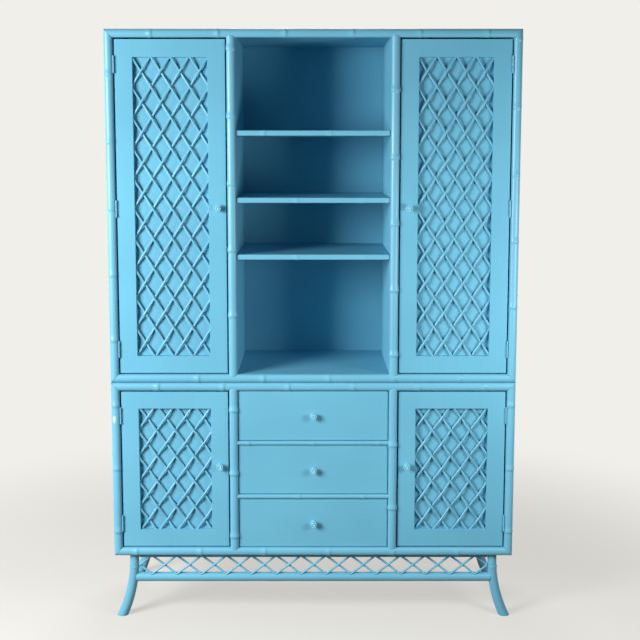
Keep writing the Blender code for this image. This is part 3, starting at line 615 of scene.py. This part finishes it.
# Doors: a slab with a sunk window, a woven rattan lattice in it, and its halves of the butt hinges
door = {
    "hingeGap": 0.0046, "latchGap": 0.0045, "frame": 0.0585, "sink": 0.016,
    "edge": 0.0013, "edgeAngle": 1.0,        # easing, and the angle in radians above which an edge gets it
    "hinges": {"lower": 2, "upper": 3}, "hingeInset": 0.082,
}
weave = {
    "across": 7.7, "down": {"lower": 9.5, "upper": 19.8},    # counted in half diamonds
    "width": 0.0072, "thickness": 0.0060, "setback": 0.0025,
    "lift": 0.0029,          # how far a strand swings out and in as it goes over and under
    "stepsPerHalf": 7, "sides": 10, "tuck": 0.0015,
    "shortest": 0.2,         # half diamonds, shorter strands in the corners are left off
}
hinge = {
    "height": 0.057, "leaf": 0.0015, "leafReach": 0.018, "barrel": 0.0025, "barrelForward": 0.0042,
    "leafEdge": 0.0003, "leafProud": 0.0004, "leafRoot": 0.0002,
    "leafIntoBarrel": 0.6,                           # share of the barrel's radius where a leaf begins
    "knuckleGap": 0.0004, "knuckleEase": 0.0004, "knuckleTip": 0.86, "sides": 16,
    "screwRadius": 0.0030, "screwRise": 0.0002, "screwRoot": 0.0004, "screwCrown": 0.86, "screwSides": 12,
    "screwLine": 0.42,                               # share of the leaf's reach
    "screwPlaces": (-0.36, 0.0, 0.36),               # shares of the height
    "screwStagger": 0.003,                           # the middle screw sits this much further back
}


def makeDoorSlab(stage, name, xs, zs):
    bm = bmesh.new()
    addBlock(bm, (xs[0], caseWork["doorFront"], zs[0]), (xs[1], caseWork["doorBack"], zs[1]))
    face = min(bm.faces, key=lambda f: f.calc_center_median().y)
    bmesh.ops.inset_region(bm, faces=[face], thickness=door["frame"], use_even_offset=True)
    bmesh.ops.inset_region(bm, faces=[face], thickness=shaping["near"], depth=-door["sink"],
                           use_even_offset=True)
    sharp = [e for e in bm.edges if e.is_convex and e.calc_face_angle(0) > door["edgeAngle"]]
    easeEdges(bm, sharp, door["edge"])
    node = f"{stage}_{name}_door"
    makePiece(camel(node), bm, f"{stage}_{name}_leaf", "front_paint", uprightEnamel, node)


def makeLattice(stage, name, window):
    left, right, base, top = window
    across, down = weave["across"] / 2, weave["down"][stage] / 2
    halfWide = (right - left) / (2 * across)
    halfHigh = (top - base) / (2 * down)
    middle = Vector(((left + right) / 2, 0, (base + top) / 2))
    lines = math.ceil(across) + math.ceil(down)
    firstRow = math.ceil(down) - 1
    depth = caseWork["doorFront"] + weave["setback"] + weave["thickness"] / 2 + weave["lift"]
    reachX = across + weave["tuck"] / halfWide
    reachZ = down + weave["tuck"] / halfHigh
    bm = bmesh.new()
    for lean in (1, -1):
        side = Vector((-lean * halfHigh, 0, halfWide))
        for shift in range(-lines, lines + 1, 2):
            begin = max(-reachX, -reachZ - lean * shift)
            finish = min(reachX, reachZ - lean * shift)
            if finish - begin < weave["shortest"]:
                continue
            count = math.ceil((finish - begin) * weave["stepsPerHalf"])
            stations = []
            for k in range(count + 1):
                run = lerp(begin, finish, k / count)
                row = firstRow - (lean * run + shift)
                swing = -lean * weave["lift"] * math.cos(math.pi * row)
                slope = -weave["lift"] * math.pi * math.sin(math.pi * row)
                point = middle + Vector((run * halfWide, depth + swing, (lean * run + shift) * halfHigh))
                along = Vector((halfWide, slope, lean * halfHigh))
                stations.append(station(point, along, side, weave["width"] / 2, weave["thickness"] / 2))
            sweepRod(bm, stations, weave["sides"])
    node = f"{stage}_{name}_door_lattice"
    makePiece(camel(node), bm, f"{stage}_{name}_leaf", "rattan_paint", rattanEnamel, node)


def addScrews(bm, face, outward, middleY, height):
    along = Vector((outward, 0, 0))
    radius = hinge["screwRadius"]
    rise = hinge["screwRise"]
    points = ((-hinge["screwRoot"], 1.0), (rise / 2, 1.0), (rise, hinge["screwCrown"]))
    for share in hinge["screwPlaces"]:
        back = hinge["screwStagger"] if share == 0 else 0
        centre = Vector((face, middleY + back, height + share * hinge["height"]))
        sweepRod(bm, [station(centre + along * d, along, Vector((0, 0, 1)), radius * r, radius * r)
                      for d, r in points], hinge["screwSides"])


def addKnuckle(bm, axis, low, high):
    radius, ease, tip = hinge["barrel"], hinge["knuckleEase"], hinge["knuckleTip"]
    ends = ((low, tip), (low + ease, 1.0), (high - ease, 1.0), (high, tip))
    up = Vector((0, 0, 1))
    sweepRod(bm, [station(Vector((axis.x, axis.y, z)), up, Vector((1, 0, 0)), radius * r, radius * r)
                  for z, r in ends], hinge["sides"])


def makeHinges(stage, name, side, edge, heights):
    gap = caseWork["gap"]
    axis = Vector((side * (caseWork["sideInner"] - (gap + door["hingeGap"]) / 2),
                   caseWork["face"] - hinge["barrelForward"], 0))
    half, third = hinge["height"] / 2, hinge["height"] / 6
    leafRear = caseWork["face"] + hinge["leafReach"]
    leafFront = axis.y + hinge["barrel"] * hinge["leafIntoBarrel"]
    screwLine = lerp(caseWork["doorFront"], leafRear, hinge["screwLine"])
    edging = hinge["leafEdge"]
    places = {2: ("bottom", "top"), 3: ("bottom", "middle", "top")}[len(heights)]
    leaves = bmesh.new()
    for place, height in zip(places, heights):
        inner = side * (caseWork["sideInner"] - gap)
        caseXs = sorted((inner, inner - side * hinge["leaf"]))
        bm = bmesh.new()
        addSlab(bm, (caseXs[0], leafFront, height - half), (caseXs[1], leafRear, height + half), edging)
        addScrews(bm, inner - side * hinge["leaf"], -side, screwLine, height)
        addKnuckle(bm, axis, height - half, height - third - hinge["knuckleGap"])
        addKnuckle(bm, axis, height + third + hinge["knuckleGap"], height + half)
        node = f"{stage}_{name}_door_{place}_hinge"
        makePiece(camel(node), bm, "cabinet", "hinge_paint", hingeEnamel, node)
        doorXs = sorted((edge - side * hinge["leafRoot"], edge + side * hinge["leaf"]))
        addSlab(leaves, (doorXs[0], caseWork["doorFront"] - hinge["leafProud"], height - half),
                (doorXs[1], leafRear, height + half), edging)
        addSlab(leaves, (doorXs[0], leafFront, height - third),
                (doorXs[1], caseWork["doorFront"], height + third), edging)
        addScrews(leaves, edge + side * hinge["leaf"], side, screwLine, height)
        addKnuckle(leaves, axis, height - third, height + third)
    makePiece(camel(f"{stage}_{name}_door_hinge_leaves"), leaves, f"{stage}_{name}_leaf", "hinge_paint",
              hingeEnamel)


def makeDoor(stage, name, side):
    low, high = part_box(f"{stage}_{name}_door")
    edge = side * (caseWork["sideInner"] - door["hingeGap"])
    latch = side * (caseWork["bayHalf"] + caseWork["board"] + door["latchGap"])
    xs = sorted((edge, latch))
    zs = (low.z, high.z)
    frameWidth = door["frame"]
    makeDoorSlab(stage, name, xs, zs)
    makeLattice(stage, name, (xs[0] + frameWidth, xs[1] - frameWidth, zs[0] + frameWidth, zs[1] - frameWidth))
    count = door["hinges"][stage]
    inset = door["hingeInset"]
    heights = [lerp(zs[0] + inset, zs[1] - inset, k / (count - 1)) for k in range(count)]
    makeHinges(stage, name, side, edge, heights)
    makeKnob(f"{stage}_{name}_door_knob", f"{stage}_{name}_leaf")


for stage in stages:
    makeDoor(stage, "left", -1)
    makeDoor(stage, "right", 1)
print("doors done")


# Drawers: painted front, bare poplar tray behind it. Their sizes stand with the dividers' runners.
def makeDrawer(node, level):
    body = node.replace("drawer", "tray")
    low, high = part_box(node)
    frontRear = low.y + drawers["frontThickness"]
    bm = bmesh.new()
    addSlab(bm, low, (high.x, frontRear, high.z), drawers["frontEdge"])
    makePiece(camel(node) + "Front", bm, body, "front_paint", levelEnamel, node)
    base = drawers["firstBase"] + level * drawers["step"] + dividers["runnerHeight"] + 2 * caseWork["gap"]
    top = high.z - drawers["topClearance"]
    left, right = low.x + caseWork["gap"], high.x - caseWork["gap"]
    wall, edge, groove = drawers["wall"], drawers["wallEdge"], drawers["groove"]
    bm = bmesh.new()
    addSlab(bm, (left, frontRear, base), (left + wall, high.y, top), edge)
    addSlab(bm, (right - wall, frontRear, base), (right, high.y, top), edge)
    addSlab(bm, (left + wall - groove, frontRear, base + drawers["floorLift"]),
            (right - wall + groove, high.y - wall + groove, base + drawers["floor"]), drawers["floorEdge"])
    makePiece(camel(node) + "Tray", bm, body, "drawer_wood", poplarAlong)
    bm = bmesh.new()
    addSlab(bm, (left + wall, high.y - wall, base), (right - wall, high.y, top), edge)
    makePiece(camel(node) + "TrayBack", bm, body, "drawer_wood", poplarAcross)
    makeKnob(f"{node}_knob", body)


for level, node in enumerate(drawers["names"]):
    makeDrawer(node, level)
print("drawers done")


# Stand: four steam-bent rattan legs, a front stretcher and a row of crossed sticks
stand = {
    "legTop": 0.2333, "legHeight": 0.224, "straight": 0.024, "splay": 0.0445,
    "radius": 0.0155, "foot": 0.0175, "offset": 0.6215, "frontY": -0.18385, "rearY": 0.19215,
    "spare": 0.012,          # length below the floor that is sawn off level
    "ringHeight": 0.175, "ringLength": 0.009, "legSides": 24, "legSteps": 26,
    # Upper half of a binding ring: share of its half length, distance past that, rise
    "ring": ((1.0, 0.0016, 0.0), (1.0, 0.0010, -0.0005), (1.0, 0.0, 0.00098), (0.5, 0.0, 0.0014)),
    "ringRoom": 2.2,         # half lengths about it that hold no other station
}
apron = {
    "height": 0.1373, "radius": 0.0158, "lap": 0.006, "steps": 40, "sides": 24,
    "waver": 0.012, "waverPace": (1.7, 1.3),     # uneven growth of the cane, as a share of its radius
    "bays": 14, "stick": 0.0036, "lift": 0.0026, "seat": 0.0035, "footLap": 0.008,
    "forward": 0.0015, "endGap": 0.0018, "stickSteps": 8, "stickSides": 10,
    "shortest": 0.1,         # share of a bay, shorter sticks at the ends are left off
    "batten": (0.016, 0.2100), "battenEdge": 0.001,
}


def legLine(height):
    drop = stand["legHeight"] - stand["straight"]
    bend = (drop ** 2 + stand["splay"] ** 2) / (2 * stand["splay"])
    fall = max(0.0, drop - height)
    shift = bend - math.sqrt(bend ** 2 - fall ** 2)
    return shift, math.asin(fall / bend), lerp(stand["foot"], stand["radius"], height / stand["legHeight"])


def makeLeg(node, side, depth):
    middle, half = stand["ringHeight"], stand["ringLength"] / 2
    count = stand["legSteps"]
    heights = [(lerp(stand["legTop"], -stand["spare"], k / count), 0.0) for k in range(count + 1)]
    heights = [h for h in heights if abs(h[0] - middle) > stand["ringRoom"] * half]
    for share, past, rise in stand["ring"]:
        heights += [(middle + way * (half * share + past), rise) for way in (1, -1)]
    stations = []
    for height, swell in sorted(heights, reverse=True):
        shift, lean, radius = legLine(height)
        along = Vector((side * math.sin(lean), 0, -math.cos(lean)))
        point = Vector((side * (stand["offset"] + shift), depth, height))
        stations.append(station(point, along, Vector((0, 1, 0)), radius + swell, radius + swell))
    bm = bmesh.new()
    sweepRod(bm, stations, stand["legSides"])
    trim(bm, (0, 0, 0), (0, 0, -1))
    makePiece(camel(node), bm, "cabinet", "rattan_paint", rattanEnamel, node)


def makeApron():
    depth, height, radius = stand["frontY"], apron["height"], apron["radius"]
    shift, _, legRadius = legLine(height)
    end = stand["offset"] + shift - legRadius + apron["lap"]
    along, up = Vector((1, 0, 0)), Vector((0, 0, 1))
    stations = []
    for k in range(apron["steps"] + 1):
        point = Vector((lerp(-end, end, k / apron["steps"]), depth, height))
        wide, thick = [radius * (1 + apron["waver"] * math.sin(k * pace)) for pace in apron["waverPace"]]
        stations.append(station(point, along, up, wide, thick))
    bm = bmesh.new()
    sweepRod(bm, stations, apron["sides"])
    makePiece("frontStretcher", bm, "cabinet", "rattan_paint", rattanEnamel, "front_apron")
    half = stand["offset"] - stand["radius"] - apron["endGap"]
    pitch = 2 * half / apron["bays"]
    battenDepth, battenBase = apron["batten"]
    low, high = height + radius - apron["seat"], battenBase + apron["seat"]
    bm = bmesh.new()
    for lean in (1, -1):
        for bay in range(-1, apron["bays"] + 1):
            foot = -half + (bay + 0.5) * pitch
            begin = max(0.0, (-half - foot) / (lean * pitch) if lean > 0 else (foot - half) / pitch)
            finish = min(1.0, (half - foot) / pitch if lean > 0 else (foot + half) / pitch)
            if finish - begin < apron["shortest"]:
                continue
            side = Vector((-(high - low), 0, lean * pitch))
            run = Vector((lean * pitch, 0, high - low))
            stations = []
            for k in range(apron["stickSteps"] + 1):
                share = lerp(begin, finish, k / apron["stickSteps"])
                # Feet come forward and lap over the stretcher's top
                lap = apron["footLap"] * (1 - share) ** 2
                forward = apron["forward"] + lean * apron["lift"] * math.sin(math.pi * share) + lap
                point = Vector((foot + lean * pitch * share, depth - forward, lerp(low, high, share)))
                stations.append(station(point, run, side, apron["stick"], apron["stick"]))
            sweepRod(bm, stations, apron["stickSides"])
    makePiece("apronCrossedSticks", bm, "cabinet", "rattan_paint", rattanEnamel)
    bm = bmesh.new()
    addSlab(bm, (-half, depth - battenDepth / 2, battenBase),
            (half, depth + battenDepth / 2, stand["legTop"]), apron["battenEdge"])
    makePiece("apronBatten", bm, "cabinet", "rattan_paint", levelEnamel)


for name, side in (("left", -1), ("right", 1)):
    makeLeg(f"front_{name}_leg", side, stand["frontY"])
    makeLeg(f"rear_{name}_leg", side, stand["rearY"])
makeApron()
print("stand done")


# Stage: pale floor that fades into a pale background, three softboxes and a low even fill
studio = {
    "backdrop": "#F1EFEA", "floor": "#D6D3CD", "bounce": "#5C5A57", "fill": 0.027,
    "floorReach": 60,
    "ownGlow": 0.60, "fadeFrom": 0.9, "fadeTo": 2.4,     # the floor's own paleness, and where it takes over
    "leftBox": {"at": (-2.22, -1.98, 1.68), "aim": (-0.25, -0.2, -0.10), "size": 1.15, "power": 130},
    "rightBox": {"at": (1.24, -1.12, 1.20), "aim": (0.0, -0.2, 0.75), "size": 0.50, "power": 13.5},
    "backBox": {"at": (0.0, 2.60, 3.30), "aim": (0.0, 0.1, 1.4), "size": 1.20, "power": 58},
}
# Camera fitted to the photograph's perspective
view = {
    "at": (0.0, -3.771, 1.616), "tilt": 83.51, "lens": 60.19, "sensor": 36, "shiftX": 0.0105,
    "shiftY": -0.0761,
}


def seenRays(tree):
    # One for rays that show the stage itself, nought for rays that light the object
    ray = addNode(tree, "ShaderNodeLightPath").outputs
    direct = addNode(tree, "ShaderNodeMath", {0: ray["Is Camera Ray"], 1: ray["Is Glossy Ray"]},
                     operation="MAXIMUM")
    return addNode(tree, "ShaderNodeMath", {0: direct.outputs[0], 1: ray["Is Transmission Ray"]},
                   operation="MAXIMUM")


def makeFloor():
    finish = bpy.data.materials.new("paleStudioFloor")
    finish.use_nodes = True
    tree = finish.node_tree
    tree.nodes.clear()
    place = addNode(tree, "ShaderNodeTexCoord").outputs["Object"]
    away = addNode(tree, "ShaderNodeVectorMath", {0: place}, operation="LENGTH")
    fade = addNode(tree, "ShaderNodeMapRange", {"Value": away.outputs["Value"],
                                                "From Min": studio["fadeFrom"], "From Max": studio["fadeTo"],
                                                "To Min": studio["ownGlow"]},
                   interpolation_type="SMOOTHSTEP")
    seen = seenRays(tree)
    matt = addNode(tree, "ShaderNodeBsdfDiffuse", {"Color": hexColour(studio["floor"])})
    glow = addNode(tree, "ShaderNodeEmission", {"Color": hexColour(studio["backdrop"]), "Strength": 1.0})
    pale = addNode(tree, "ShaderNodeMixShader", {0: fade.outputs[0], 1: matt.outputs[0], 2: glow.outputs[0]})
    # What bounces up onto the object comes from a darker floor than the one that is seen
    bounce = addNode(tree, "ShaderNodeBsdfDiffuse", {"Color": hexColour(studio["bounce"])})
    mix = addNode(tree, "ShaderNodeMixShader", {0: seen.outputs[0], 1: bounce.outputs[0], 2: pale.outputs[0]})
    addNode(tree, "ShaderNodeOutputMaterial", {"Surface": mix.outputs[0]})
    bm = bmesh.new()
    bmesh.ops.create_grid(bm, x_segments=2, y_segments=2, size=studio["floorReach"])
    mesh = bpy.data.meshes.new("studioFloor")
    bm.to_mesh(mesh)
    bm.free()
    mesh.materials.append(finish)
    floor = bpy.data.objects.new("studioFloor", mesh)
    bpy.context.collection.objects.link(floor)


def makeWorld():
    world = bpy.data.worlds.new("paleStudio")
    world.use_nodes = True
    tree = world.node_tree
    tree.nodes.clear()
    seen = seenRays(tree)
    fill = addNode(tree, "ShaderNodeBackground", {"Color": (1, 1, 1, 1), "Strength": studio["fill"]})
    pale = addNode(tree, "ShaderNodeBackground", {"Color": hexColour(studio["backdrop"]), "Strength": 1.0})
    mix = addNode(tree, "ShaderNodeMixShader", {0: seen.outputs[0], 1: fill.outputs[0], 2: pale.outputs[0]})
    addNode(tree, "ShaderNodeOutputWorld", {"Surface": mix.outputs[0]})
    bpy.context.scene.world = world


def addBox(name, settings):
    lamp = bpy.data.lights.new(name, "AREA")
    lamp.energy = settings["power"]
    lamp.size = settings["size"]
    box = bpy.data.objects.new(name, lamp)
    box.location = settings["at"]
    toAim = Vector(settings["aim"]) - Vector(settings["at"])
    box.rotation_euler = toAim.to_track_quat("-Z", "Y").to_euler()
    bpy.context.collection.objects.link(box)


def makeCamera():
    lens = bpy.data.cameras.new("photoView")
    lens.lens = view["lens"]
    lens.sensor_width = view["sensor"]
    lens.shift_x = view["shiftX"]
    lens.shift_y = view["shiftY"]
    eye = bpy.data.objects.new("photoView", lens)
    eye.location = view["at"]
    eye.rotation_euler = (math.radians(view["tilt"]), 0, 0)
    bpy.context.collection.objects.link(eye)
    bpy.context.scene.camera = eye


makeFloor()
makeWorld()
addBox("leftSoftbox", studio["leftBox"])
addBox("rightSoftbox", studio["rightBox"])
addBox("backSoftbox", studio["backBox"])
makeCamera()
bpy.context.scene.view_settings.view_transform = "Standard"
print("stage ready")
